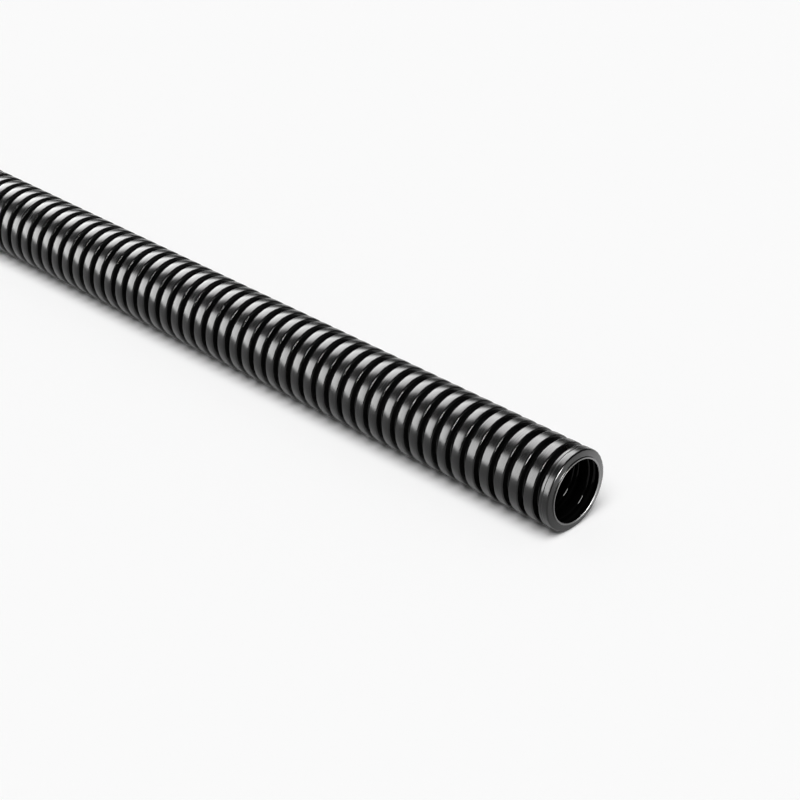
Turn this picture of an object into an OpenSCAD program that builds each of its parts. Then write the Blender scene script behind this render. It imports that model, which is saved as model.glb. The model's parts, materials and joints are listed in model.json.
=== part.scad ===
// Corrugated electrical conduit: one length of black polyamide tube with parallel hollow ribs.
// It lies along X on its rib crests, with the floor at Z = 0 and both ends cut in a groove.

/* [Length] */
// Length that is ordered; each end is cut in the nearest groove
ordered_length = 1000; // [100:10:3000]
// Flat root left at each cut, in front of the last rib's rounding
cut_land = 0.15; // [0.05:0.05:0.5]

/* [Section] */
// Outer diameter over the rib crests
crest_d = 21.2; // [19:0.1:30]
// Clear bore inside the roots
bore_d = 16.5; // [10:0.1:18]
// Thickness of the moulded wall, the same all the way along
wall = 0.45; // [0.3:0.05:0.7]

/* [Ribs] */
// Distance from one rib to the next
pitch = 4.6; // [3.7:0.05:8]
// Width of a rib at its crest
rib_w = 2.8; // [1.8:0.05:3.2]
// Lean of a rib's flanks, from square to the axis
flank_lean = 5; // [0:0.5:12]
// Outside rounding of the crest's edges
crest_round = 0.4; // [0.1:0.05:0.6]
// Outside rounding where a flank meets the root
root_round = 0.2; // [0.1:0.05:0.5]

/* [Hidden] */
$fn = 48;
fillet_steps = 3;
crest_r = crest_d / 2;
bore_r = bore_d / 2;
root_r = bore_r + wall;
hollow_r = crest_r - wall;

// The flank's foot stands out from its top by the lean
foot_spread = (crest_r - root_r) * tan(flank_lean);
// Axial thickness of a leaning flank
flank_wall = wall / cos(flank_lean);

// Half widths of a rib outside and of its hollow inside, at crest and foot
rib_top = rib_w / 2;
rib_foot = rib_top + foot_spread;
hollow_top = rib_top + wall * tan(flank_lean) - flank_wall;
hollow_foot = rib_top + (crest_r - bore_r) * tan(flank_lean) - flank_wall;

// The same wall thickness turns an outside rounding into a tighter or wider one inside
hollow_crest_round = max(crest_round - wall, 0);
hollow_root_round = root_round + wall;

// How far the rounding at a flank's foot runs out along the root
root_run = root_round * tan((90 - flank_lean) / 2);

rib_count = round(ordered_length / pitch);
first_rib = cut_land + root_run + rib_foot;
tube_length = 2 * first_rib + (rib_count - 1) * pitch;

function unit(v) = v / norm(v);
function turned(v, a) = [v.x * cos(a) - v.y * sin(a), v.x * sin(a) + v.y * cos(a)];

// Points of the arc that rounds the corner between its two neighbours
function rounded(corner, before, after, radius) =
    let (
        back = unit(before - corner),
        ahead = unit(after - corner),
        half = acos(back * ahead) / 2,
        centre = corner + unit(back + ahead) * radius / sin(half),
        start = corner + back * radius / tan(half) - centre,
        turn = 180 - 2 * half,
        way = sign(back.x * ahead.y - back.y * ahead.x)
    )
    radius > 0
        ? [for (i = [0:fillet_steps]) centre + turned(start, -way * turn * i / fillet_steps)]
        : [corner];

// Corners of one wave, as radius, distance along the tube and rounding
function wave(at, top, foot, top_r, foot_r, top_round, foot_round) = [
    [foot_r, at - foot, foot_round],
    [top_r, at - top, top_round],
    [top_r, at + top, top_round],
    [foot_r, at + foot, foot_round],
];

function outside_corners() = [
    for (i = [0:rib_count - 1])
        each wave(first_rib + i * pitch, rib_top, rib_foot, crest_r, root_r, crest_round, root_round)
];

function inside_corners() = [
    for (i = [0:rib_count - 1])
        each wave(first_rib + i * pitch, hollow_top, hollow_foot, hollow_r, bore_r,
            hollow_crest_round, hollow_root_round)
];

function flat(p) = [p[0], p[1]];
function backwards(list) = [for (i = [len(list) - 1:-1:0]) list[i]];

// A run of rounded corners between two end points
function run(corners, start, end) =
    let (all = concat([start], corners, [end]))
    [for (i = [1:len(all) - 2]) each rounded(flat(all[i]), flat(all[i - 1]), flat(all[i + 1]), all[i][2])];

// Half section of the wall, radius across and length up
module wall_section() {
    outside = run(outside_corners(), [root_r, 0], [root_r, tube_length]);
    inside = run(inside_corners(), [bore_r, 0], [bore_r, tube_length]);
    polygon(concat(
        [[root_r, 0]], outside, [[root_r, tube_length]],
        [[bore_r, tube_length]], backwards(inside), [[bore_r, 0]]));
}

module conduit_tube() {
    color([0.03, 0.03, 0.03])
        translate([-tube_length / 2, 0, crest_r])
        rotate([0, 90, 0])
        rotate_extrude()
        wall_section();
}

conduit_tube();
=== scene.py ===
# %% [markdown]
# # Corrugated electrical conduit
# A cut metre of the black plastic tube that cables are drawn through. The wall is one thin sheet
# of polyamide, waved into flat-topped ribs so that the tube bends without kinking. The CAD frame
# gives the true sizes, but its mesh is nearly half a million loose triangles, which can't be
# shaded smoothly. This lesson models the tube again in the same place, as one closed and lighter
# mesh, and then gives it its finish, its light and a camera.

# %% Load the frame
import json
import math

import bpy
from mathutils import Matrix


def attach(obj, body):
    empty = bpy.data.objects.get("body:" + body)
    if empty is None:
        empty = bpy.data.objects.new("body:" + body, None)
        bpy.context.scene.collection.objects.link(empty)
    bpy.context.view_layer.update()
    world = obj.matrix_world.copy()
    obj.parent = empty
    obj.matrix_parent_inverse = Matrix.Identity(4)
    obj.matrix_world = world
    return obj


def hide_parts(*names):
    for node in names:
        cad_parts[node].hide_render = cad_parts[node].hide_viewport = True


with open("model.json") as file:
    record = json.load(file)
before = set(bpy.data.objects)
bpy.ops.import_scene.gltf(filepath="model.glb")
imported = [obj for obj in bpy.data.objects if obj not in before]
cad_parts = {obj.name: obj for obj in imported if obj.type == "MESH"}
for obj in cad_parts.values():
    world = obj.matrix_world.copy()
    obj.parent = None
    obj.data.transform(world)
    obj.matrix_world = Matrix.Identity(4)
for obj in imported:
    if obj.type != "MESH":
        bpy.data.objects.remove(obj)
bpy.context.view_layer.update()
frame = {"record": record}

NODE = "conduit_tube"
MM = 0.001
mounts = {mount["name"]: mount for mount in frame["record"]["mounts"]}
crest_r = mounts["rib_crests"]["dims"]["r_mm"]
bore_r = mounts["cable_bore"]["dims"]["r_mm"]
tube_length = mounts["cable_bore"]["dims"]["length_mm"]
print(f"tube {tube_length} mm long, crest radius {crest_r} mm, bore radius {bore_r} mm")

# %% [markdown]
# ## The wave of the wall
# On the real tube a soft hot pipe is blown into running mould blocks, so the wall keeps one
# thickness over crest, flank and root. A wave like this could be made by displacing a cylinder,
# but then the flanks would only be as steep as the mesh is fine. Here the section is worked out
# from its sizes, and the inside is the outside moved in by the wall.

# %% Sizes of the wave, in millimetres
# The frame gives the crests, the bore and the length, and these repeat the CAD source's other sizes
wall = 0.45
pitch = 4.6
rib_w = 2.8
flank_lean = math.radians(5)
crest_round = 0.4
root_round = 0.2
cut_land = 0.15

# Radii and half widths of a rib outside, and of its hollow inside
root_r = bore_r + wall
hollow_r = crest_r - wall
rib_top = rib_w / 2
rib_foot = rib_top + (crest_r - root_r) * math.tan(flank_lean)
flank_wall = wall / math.cos(flank_lean)
hollow_top = rib_top + wall * math.tan(flank_lean) - flank_wall
hollow_foot = rib_top + (crest_r - bore_r) * math.tan(flank_lean) - flank_wall

# A rounding takes this much of each side of its corner for every millimetre of radius
corner_run = math.tan((math.pi / 2 - flank_lean) / 2)
rib_reach = rib_foot + root_round * corner_run
front_x = tube_length / 2
first_rib = front_x - cut_land - rib_reach
rib_count = round((tube_length - 2 * (cut_land + rib_reach)) / pitch) + 1
last_rib = first_rib - (rib_count - 1) * pitch
print(f"{rib_count} ribs, from x = {first_rib:.2f} mm to x = {last_rib:.2f} mm")

# %% [markdown]
# ## Drawing one rib
# A rib's section is drawn the way one would by hand: a plane is merged to a single vertex, and the
# vertex is extruded from corner to corner. The corners are then rounded with a vertex bevel.
# Blender's tools lose their grip on edges of a few hundredths of a millimetre when the unit is the
# metre, so the section is drawn with one unit to the millimetre and made small at the end.

# %% Draw and round a line
# Points that lie closer than this are the same point
NEAR = 0.001


def draw_line(points):
    """Draws a line through points of (place along the tube, radius), from one vertex."""
    (start_x, start_r), *rest = points
    bpy.ops.mesh.select_all(action="DESELECT")
    bpy.ops.mesh.primitive_plane_add(size=1, location=(start_x, 0, start_r))
    bpy.ops.mesh.merge(type="CENTER")
    for (x, r), (last_x, last_r) in zip(rest, points):
        step = (x - last_x, 0, r - last_r)
        bpy.ops.mesh.extrude_region_move(TRANSFORM_OT_translate={"value": step})


def select_points(points):
    """Selects only the vertices at points of (place along the tube, radius)."""
    bpy.ops.mesh.select_all(action="DESELECT")
    bpy.ops.object.mode_set(mode="OBJECT")
    for vertex in bpy.context.object.data.vertices:
        place = (vertex.co.x, vertex.co.z)
        vertex.select = any(math.dist(place, point) < NEAR for point in points)
    bpy.ops.object.mode_set(mode="EDIT")


def round_corners(points, run, steps):
    """Rounds the corners at the points, starting the given run before each of them."""
    select_points(points)
    bpy.ops.mesh.bevel(offset=run, offset_type="OFFSET", segments=steps, affect="VERTICES",
                       clamp_overlap=False)

# %% Draw one rib
def draw_rib(x, outside_steps, inside_steps):
    """Draws the wall of a rib and the groove behind it. With no inside steps it is square inside."""
    start, end = x + rib_reach, x + rib_reach - pitch
    feet = [(x + rib_foot, root_r), (x - rib_foot, root_r)]
    tops = [(x + rib_top, crest_r), (x - rib_top, crest_r)]
    draw_line([(start, root_r), feet[0], *tops, feet[1], (end, root_r)])
    inner_feet = [(x + hollow_foot, bore_r), (x - hollow_foot, bore_r)]
    inner_tops = [(x + hollow_top, hollow_r), (x - hollow_top, hollow_r)]
    draw_line([(start, bore_r), inner_feet[0], *inner_tops, inner_feet[1], (end, bore_r)])

    round_corners(tops, crest_round * corner_run, outside_steps)
    round_corners(feet, root_round * corner_run, outside_steps)
    if inside_steps:
        round_corners(inner_feet, (root_round + wall) * corner_run, inside_steps)

# %% Repeat a rib along the tube
def make_ribs(name, first, count, outside_steps, inside_steps):
    """Draws one rib in a new object, and repeats it from the first place on."""
    bpy.ops.object.select_all(action="DESELECT")
    bpy.ops.mesh.primitive_plane_add(size=1)
    ribs = bpy.context.object
    ribs.name = name
    bpy.ops.object.mode_set(mode="EDIT")
    bpy.ops.mesh.delete(type="VERT")
    draw_rib(first_rib - first * pitch, outside_steps, inside_steps)
    bpy.ops.object.mode_set(mode="OBJECT")

    repeat = ribs.modifiers.new("ribs", "ARRAY")
    repeat.count = count
    repeat.use_relative_offset = False
    repeat.use_constant_offset = True
    repeat.constant_offset_displace = (-pitch, 0, 0)
    bpy.ops.object.modifier_apply(modifier=repeat.name)
    print(f"{name}: {count} ribs, {len(ribs.data.vertices)} points")
    return ribs

# %% [markdown]
# ## From one rib to the whole section
# A metre of finely rounded ribs would be a heavy mesh, and only the open ends are ever looked at
# closely, so a few ribs at each end get finer roundings, outside and inside, than the long middle.
# The three stretches are joined into one line outside and one inside, and points that lie on a
# straight stretch are dissolved.

# %% Draw the three stretches
FRONT_RIBS = 6
BACK_RIBS = 4
middle_ribs = rib_count - FRONT_RIBS - BACK_RIBS

stretches = [
    make_ribs("front_ribs", 0, FRONT_RIBS, outside_steps=3, inside_steps=3),
    make_ribs("middle_ribs", FRONT_RIBS, middle_ribs, outside_steps=1, inside_steps=0),
    make_ribs("back_ribs", rib_count - BACK_RIBS, BACK_RIBS, outside_steps=2, inside_steps=3),
]

# %% Join them into one section
# Two hundred repeats add up small errors, so the stretches meet within this many millimetres
JOIN = 0.02
# A point where the line turns by less than this lies on a straight stretch
STRAIGHT = math.radians(1)

bpy.ops.object.select_all(action="DESELECT")
for stretch in stretches:
    stretch.select_set(True)
tube = stretches[0]
bpy.context.view_layer.objects.active = tube
bpy.ops.object.join()
tube.name = "conduit"
tube.data.name = "conduit"
bpy.ops.object.mode_set(mode="EDIT")
bpy.ops.mesh.select_all(action="SELECT")
bpy.ops.mesh.remove_doubles(threshold=JOIN)
bpy.ops.mesh.dissolve_limited(angle_limit=STRAIGHT)
bpy.ops.object.mode_set(mode="OBJECT")
print(f"section of {len(tube.data.vertices)} points")

# %% [markdown]
# ## The cut ends
# A fitter cuts such tube in a groove, close to a rib, so a narrow lip of root is left in front of
# the last flank. The wall could be closed by filling a ring after the spin, but its rims would
# then be hard to round. So the two lines are drawn out to the cut and joined there, which makes
# the section one closed outline. The inner rim is trimmed at a slant so that it doesn't scrape the
# cables, and the slant catches the light. The outer rim is only a little rounded.

# %% Close one end of the section
# Rounding of the outer rim, height of the slant at the inner one, and the slant's broken edges
RIM = 0.1
RIM_STEPS = 3
TRIM = 0.3
TRIM_EDGE = 0.03


def close_end(open_x, cut_x):
    """Draws the section's two loose ends out to a cut, joins them there and breaks the rims."""
    outer, inner, trimmed = (cut_x, root_r), (open_x, bore_r), (cut_x, bore_r + TRIM)
    bpy.ops.object.mode_set(mode="EDIT")
    select_points([(open_x, root_r)])
    bpy.ops.mesh.extrude_region_move(TRANSFORM_OT_translate={"value": (cut_x - open_x, 0, 0)})
    select_points([inner])
    bpy.ops.mesh.extrude_region_move(TRANSFORM_OT_translate={"value": (cut_x - open_x, 0, TRIM)})
    select_points([outer, trimmed])
    bpy.ops.mesh.edge_face_add()
    round_corners([outer], RIM, RIM_STEPS)
    round_corners([inner, trimmed], TRIM_EDGE, 1)
    bpy.ops.object.mode_set(mode="OBJECT")

# %% Close both ends
# The groove behind the last rib lies past the cut
past_x = last_rib + rib_reach - pitch
bpy.ops.object.mode_set(mode="EDIT")
select_points([(past_x, root_r), (past_x, bore_r)])
bpy.ops.mesh.delete(type="VERT")
bpy.ops.object.mode_set(mode="OBJECT")
close_end(first_rib + rib_reach, front_x)
close_end(last_rib - rib_reach, -front_x)
print(f"closed section: {len(tube.data.vertices)} points, {len(tube.data.edges)} edges")

# %% [markdown]
# ## The mark beside the cut
# The tool that cut the seen end has left a fine ring on the crest beside it. A dark line in the
# material would do from afar, but a real notch also catches the light. The crest's edge in the
# section is subdivided, and the new points are moved into a shallow notch.

# %% Notch the first crest
# Places along the tube from the rib's middle, and depths
NOTCH = [(-0.56, 0), (-0.36, -0.04), (-0.16, 0)]

half_crest = rib_top - crest_round * corner_run
bpy.ops.object.mode_set(mode="EDIT")
select_points([(first_rib - half_crest, crest_r), (first_rib + half_crest, crest_r)])
bpy.ops.mesh.subdivide(number_cuts=len(NOTCH))
for i, (x, depth) in enumerate(NOTCH):
    cut_x = first_rib - half_crest + 2 * half_crest * (i + 1) / (len(NOTCH) + 1)
    select_points([(cut_x, crest_r)])
    bpy.ops.transform.translate(value=(first_rib + x - cut_x, 0, depth))
bpy.ops.object.mode_set(mode="OBJECT")
print(f"notched section: {len(tube.data.vertices)} points")

# %% [markdown]
# ## One turn makes the tube
# The section could be turned with a Screw modifier, but the spin operator leaves a plain mesh that
# can be selected and marked straight away. It makes the whole wall in one go. The notch's edges
# are marked sharp, and the mesh is then brought to its real size and lifted onto the floor.

# %% Spin the section
SIDES = 36

bpy.ops.object.mode_set(mode="EDIT")
bpy.ops.mesh.select_all(action="SELECT")
bpy.ops.mesh.spin(steps=SIDES, angle=2 * math.pi, center=(0, 0, 0), axis=(1, 0, 0))
bpy.ops.mesh.select_all(action="SELECT")
bpy.ops.mesh.remove_doubles(threshold=NEAR)
bpy.ops.mesh.normals_make_consistent(inside=False)
bpy.ops.mesh.select_all(action="DESELECT")
bpy.ops.mesh.select_mode(type="EDGE")
bpy.ops.object.mode_set(mode="OBJECT")
print(f"{SIDES} sides, {len(tube.data.polygons)} faces")

# %% Keep the notch sharp
notch_x = [first_rib + x for x, depth in NOTCH]
for edge in tube.data.edges:
    a, b = (tube.data.vertices[i].co for i in edge.vertices)
    on_ring = abs(a.x - b.x) < NEAR and math.hypot(a.y, a.z) > hollow_r
    edge.select = on_ring and any(abs(a.x - x) < NEAR for x in notch_x)
print(f"{sum(edge.select for edge in tube.data.edges)} sharp edges")
bpy.ops.object.mode_set(mode="EDIT")
bpy.ops.mesh.mark_sharp()
bpy.ops.mesh.select_mode(type="VERT")
bpy.ops.object.mode_set(mode="OBJECT")

# %% Bring it to its size and place
tube.scale = (MM, MM, MM)
tube.location = (0, 0, crest_r * MM)
bpy.ops.object.transform_apply(location=True, rotation=True, scale=True)
print("conduit, in metres:", [round(side, 4) for side in tube.dimensions])

# %% [markdown]
# ## Smooth shading
# The long middle has only one facet in each rounding. More facets would make the mesh too heavy.
# Weighting the normals by face area lets the broad crest and flanks stay flat, and turns that one
# facet into a smooth round for the eye.

# %% Weight the normals
bpy.ops.object.shade_smooth()
weighting = tube.modifiers.new("weighting", "WEIGHTED_NORMAL")
weighting.mode = "FACE_AREA"
weighting.weight = 100
weighting.keep_sharp = True
bpy.ops.object.modifier_apply(modifier=weighting.name)

triangles = sum(len(face.vertices) - 2 for face in tube.data.polygons)
print(f"conduit: {triangles} triangles")

# %% [markdown]
# ## Black polyamide
# The tube is polyamide coloured with carbon black, and its four surfaces differ only in how they
# were made. The crests and flanks took their surface from the mould, the rounded edges were
# stretched, the inside touched nothing but air, and the ends were cut. All four are one plastic
# shader, with a noise of its own grain in roughness and relief.

# %% Colours and nodes
def linear(hex_colour):
    """Turns an sRGB hex colour into a linear one with alpha."""
    shares = [int(hex_colour[i:i + 2], 16) / 255 for i in (1, 3, 5)]
    return [s / 12.92 if s <= 0.04045 else ((s + 0.055) / 1.055) ** 2.4 for s in shares] + [1.0]


def add_node(tree, kind, settings=(), **inputs):
    """Adds a node, sets its properties, and fills its sockets with values or links."""
    node = tree.nodes.new(kind)
    for name, value in dict(settings).items():
        setattr(node, name, value)
    for name, value in inputs.items():
        socket = node.inputs[name.replace("_", " ")]
        if isinstance(value, bpy.types.NodeSocket):
            tree.links.new(value, socket)
        else:
            socket.default_value = value
    return node


def new_material(name):
    """Starts a node material with nothing in it."""
    material = bpy.data.materials.new(name)
    material.use_nodes = True
    material.node_tree.nodes.clear()
    return material, material.node_tree

# %% The plastic and its grain
POLYAMIDE_IOR = 1.53
# A noise seldom leaves this range
NOISE_LOW, NOISE_HIGH = 0.3, 0.7


def stretched_noise(tree, along, across):
    """Adds a noise whose grain is along mm long on the tube's axis and across mm long round it."""
    place = add_node(tree, "ShaderNodeTexCoord").outputs["Object"]
    grain = (1 / (along * MM), 1 / (across * MM), 1 / (across * MM))
    at = add_node(tree, "ShaderNodeMapping", Vector=place, Scale=grain)
    noise = add_node(tree, "ShaderNodeTexNoise", Vector=at.outputs["Vector"], Scale=1.0, Detail=2.0,
                     Roughness=0.6)
    return noise.outputs["Fac"]


def satin(tree, pattern, dull, relief, strength, colour, specular):
    """Adds the plastic and the output. Its roughness, dull, and relief in mm follow a pattern."""
    roughness = add_node(tree, "ShaderNodeMapRange", Value=pattern, From_Min=NOISE_LOW,
                         From_Max=NOISE_HIGH, To_Min=dull[0], To_Max=dull[1])
    bump = add_node(tree, "ShaderNodeBump", Height=pattern, Strength=strength, Distance=relief * MM)
    shader = add_node(tree, "ShaderNodeBsdfPrincipled", Base_Color=linear(colour),
                      IOR=POLYAMIDE_IOR, Specular_IOR_Level=specular,
                      Roughness=roughness.outputs["Result"], Normal=bump.outputs["Normal"])
    add_node(tree, "ShaderNodeOutputMaterial", Surface=shader.outputs["BSDF"])
    print(f"plastic {colour}: roughness {dull[0]} to {dull[1]}, {len(tree.nodes)} nodes")

# %% [markdown]
# ## Moulded crests and flanks
# The mould blocks were turned on a lathe, and their tool marks print on the tube as fine lines
# that run round it. As geometry they would need far more faces than a metre of tube can carry. A
# noise that is short along the tube and long round it draws them in the roughness and the relief.

# %% Moulded polyamide
# Satin black: soft bright bands along the tube, with fine lines across them
moulded_polyamide, tree = new_material("polyamide_moulded")
# The real lines are about 0.2 mm apart, and twice as coarse here so that they show
lines = stretched_noise(tree, along=0.45, across=30)
satin(tree, lines, dull=(0.22, 0.28), relief=0.02, strength=0.3, colour="#060606", specular=0.3)

# %% [markdown]
# ## Rounded edges
# The hot plastic was stretched round the mould's corners, so the edges of the ribs are smoother
# than the crests. With the crests' own surface they would only show as broad grey streaks. A lower
# roughness gives them the thin lines of light that the photograph has.

# %% Edge polyamide
# Stretched smooth: thin clear lines of light along the ribs
edge_polyamide, tree = new_material("polyamide_edge")
flow = stretched_noise(tree, along=3, across=25)
satin(tree, flow, dull=(0.15, 0.18), relief=0.01, strength=0.02, colour="#060606", specular=0.3)

# %% [markdown]
# ## The inside
# The inside touched no mould and set smooth. A full gloss would draw every rib in the bore as a
# bright ring, and a matt black would lose the two small gleams that the photograph shows there.
# So the surface is smooth, but reflects little.

# %% Blown polyamide
# Smooth and deep black, with small sharp gleams
blown_polyamide, tree = new_material("polyamide_blown")
flow = stretched_noise(tree, along=3, across=1.5)
satin(tree, flow, dull=(0.04, 0.06), relief=0.01, strength=0.02, colour="#040404", specular=0.08)

# %% [markdown]
# ## The cuts
# A blade leaves the plastic dull and a little paler, with short marks. The cut is only half a
# millimetre wide, so marks in the mesh would be lost, and a fine noise stands for them.

# %% Cut polyamide
# Dull and paler: a grey ring round the dark mouth
cut_polyamide, tree = new_material("polyamide_cut")
marks = stretched_noise(tree, along=0.3, across=0.18)
satin(tree, marks, dull=(0.36, 0.46), relief=0.02, strength=0.2, colour="#262626", specular=0.9)

# %% [markdown]
# ## A surface for each face
# One material could mix all four by radius, but then a cut and a flank at the same radius would
# look alike. So each face gets its own surface, by its place along the tube and by how far it
# looks outwards, from -1 for straight in to 1 for straight out.

# %% Give each face its surface
INSIDE_LEAN = -0.02
EDGE_LEAN = (0.2, 0.975)
MOULDED, EDGE, BLOWN, CUT = range(4)


def surface_of(face):
    """Tells a face's surface by its place along the tube and by how far it looks outwards."""
    out_y, out_z = face.center.y, face.center.z - crest_r * MM
    radial = (face.normal.y * out_y + face.normal.z * out_z) / math.hypot(out_y, out_z)
    if abs(face.center.x) > (front_x - cut_land) * MM:
        return CUT
    if radial < INSIDE_LEAN:
        return BLOWN
    return EDGE if EDGE_LEAN[0] < radial < EDGE_LEAN[1] else MOULDED


tube.data.materials.clear()
for surface in (moulded_polyamide, edge_polyamide, blown_polyamide, cut_polyamide):
    tube.data.materials.append(surface)
counts = [0] * len(tube.data.materials)
for face in tube.data.polygons:
    face.material_index = surface_of(face)
    counts[face.material_index] += 1
print("faces moulded, edge, blown, cut:", counts)

# %% [markdown]
# ## Into the frame
# The tube is one piece with no joint, so the mesh rides on the only body. It stands for the CAD
# node, which stays behind it for collision.

# %% Set the tube in the frame
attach(tube, "root")
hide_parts(NODE)
print(f"{tube.name} replaces {NODE}")

# %% [markdown]
# ## The floor
# The photograph has a pure white ground. A white floor of this size reaches far behind the tube,
# keeps its soft shadow, and needs no backdrop. It is a hair under white, so that the light on it
# doesn't clip. The surroundings are dim, because black plastic mirrors them.

# %% Floor
FLOOR = 60

bpy.ops.object.select_all(action="DESELECT")
bpy.ops.mesh.primitive_plane_add(size=FLOOR)
floor = bpy.context.object
floor.name = "floor"
paper, tree = new_material("studio_paper")
shade = add_node(tree, "ShaderNodeBsdfDiffuse", Color=linear("#fafafa"))
add_node(tree, "ShaderNodeOutputMaterial", Surface=shade.outputs["BSDF"])
floor.data.materials.append(paper)
print(f"floor {FLOOR} m wide")

# %% Surroundings
SKY = 0.15

world = bpy.data.worlds.new("studio")
bpy.context.scene.world = world
world.use_nodes = True
tree = world.node_tree
tree.nodes.clear()
sky = add_node(tree, "ShaderNodeBackground", Color=(1, 1, 1, 1), Strength=SKY)
add_node(tree, "ShaderNodeOutputWorld", Surface=sky.outputs["Background"])
print(f"sky at {SKY} of white")

# %% [markdown]
# ## Panels that gleam
# Black plastic shows little colour of its own: what the eye sees are the lights in its surface. A
# lamp bright enough for that would burn out the white floor. So the panels are hidden from diffuse
# surfaces and only gleam in the plastic, and like real softboxes they are dimmer at their edges.

# %% Make a panel
def fade_edges(lamp, fade):
    """Dims a panel towards its two long edges, over the given share of its height."""
    lamp.use_nodes = True
    tree = lamp.node_tree
    tree.nodes.clear()
    spot = add_node(tree, "ShaderNodeNewGeometry").outputs["Parametric"]
    height = add_node(tree, "ShaderNodeSeparateXYZ", Vector=spot).outputs["Y"]
    inwards = add_node(tree, "ShaderNodeMath", {"operation": "PINGPONG"}, Value=height)
    glow = add_node(tree, "ShaderNodeMapRange", {"interpolation_type": "SMOOTHSTEP"},
                    Value=inwards.outputs["Value"], From_Max=fade)
    shine = add_node(tree, "ShaderNodeEmission", Strength=glow.outputs["Result"])
    add_node(tree, "ShaderNodeOutputLight", Surface=shine.outputs["Emission"])


def panel(name, place, turn, width, height, radiance, fade=0.02):
    """Hangs a soft panel that gleams in the plastic but leaves the floor to the overhead light."""
    lamp = bpy.data.lights.new(name, "AREA")
    lamp.shape = "RECTANGLE"
    lamp.size = width
    lamp.size_y = height
    lamp.energy = radiance * math.pi * width * height
    fade_edges(lamp, fade)
    light = bpy.data.objects.new(name, lamp)
    bpy.context.scene.collection.objects.link(light)
    light.location = place
    light.rotation_euler = turn
    light.visible_diffuse = False
    light.visible_camera = False
    print(f"{name}: {width:.3f} m by {height:.3f} m, {lamp.energy:.3f} W")

# %% [markdown]
# ## Two long bands
# The photograph has two soft bands along the tube, one from a light in front, low over the floor,
# and one from a broad light above and behind. Both panels lie along the tube, so that the bands
# stay straight. They could run far past the tube, but then it would look silver when one looks
# along it, so they only reach as far as the seen stretch needs.

# %% Band lights
BAND_START, BAND_END = -0.9, 0.25
BAND_DISTANCE = 0.6


def band_light(name, elevation, spread, radiance, fade):
    """Lays a panel along the tube, seen from its axis at an elevation over the front horizon."""
    angle = math.radians(elevation)
    place = (
        (BAND_START + BAND_END) / 2,
        -BAND_DISTANCE * math.cos(angle),
        crest_r * MM + BAND_DISTANCE * math.sin(angle),
    )
    height = 2 * BAND_DISTANCE * math.tan(math.radians(spread / 2))
    panel(name, place, (math.pi / 2 - angle, 0, 0), BAND_END - BAND_START, height, radiance, fade)


band_light("front_light", elevation=21.3, spread=43.5, radiance=15.6, fade=0.02)
band_light("top_light", elevation=114.8, spread=70, radiance=14.2, fade=0.3)

# %% [markdown]
# ## Light on the edges and the mouth
# The bands run along the tube and leave the rib edges dark. Brighter bands wouldn't reach them
# either, but a small strong panel beyond the cut end does: it draws the thin lines on those edges
# and the gleams in the mouth. A small card on the floor beside the mouth lightens the lower part
# of its ring.

# %% End light and floor card
panel("end_light", place=(1.24, 0.05, 0.115), turn=(math.pi / 2, math.radians(-40), math.pi / 2),
      width=0.19, height=0.26, radiance=150)
panel("floor_card", place=(0.511, 0.029, 0.002), turn=(math.pi, 0, 0), width=0.025, height=0.042,
      radiance=1.4)

# %% [markdown]
# ## Light on the floor
# A wide soft sun lights the floor evenly, which a lamp near the tube could not do, and lays a soft
# shadow under the tube. It is hidden from reflections, so that it draws no third band.

# %% Overhead light
SUN_TILT = math.radians(27)
SUN_TURN = math.radians(43)

sun = bpy.data.objects.new("overhead", bpy.data.lights.new("overhead", "SUN"))
bpy.context.scene.collection.objects.link(sun)
sun.rotation_euler = (SUN_TILT, 0, SUN_TURN)
sun.data.energy = 3
sun.data.angle = math.radians(45)
sun.visible_glossy = False
print(f"overhead: {sun.data.energy} W per square metre")

# %% [markdown]
# ## The camera
# The photograph looks down on the cut end through a long lens. Such a camera could be set by eye,
# but the ribs are small, and a degree would show. This one was fitted to the tube's two outlines,
# to the spacing of its ribs and to the ring of its mouth.

# %% Camera
LOOK_DOWN = 31.297
LOOK_ROUND = 43.131

camera = bpy.data.objects.new("camera", bpy.data.cameras.new("camera"))
bpy.context.scene.collection.objects.link(camera)
camera.data.lens = 95.18
camera.data.sensor_width = 36
camera.data.clip_start = 0.01
camera.location = (0.75173, -0.33125, 0.28794)
camera.rotation_euler = (math.radians(90 - LOOK_DOWN), 0, math.radians(LOOK_ROUND))
bpy.context.scene.camera = camera
bpy.context.scene.view_settings.view_transform = "Standard"
print(f"camera: {camera.data.lens:.2f} mm lens, looking {LOOK_DOWN} degrees down")
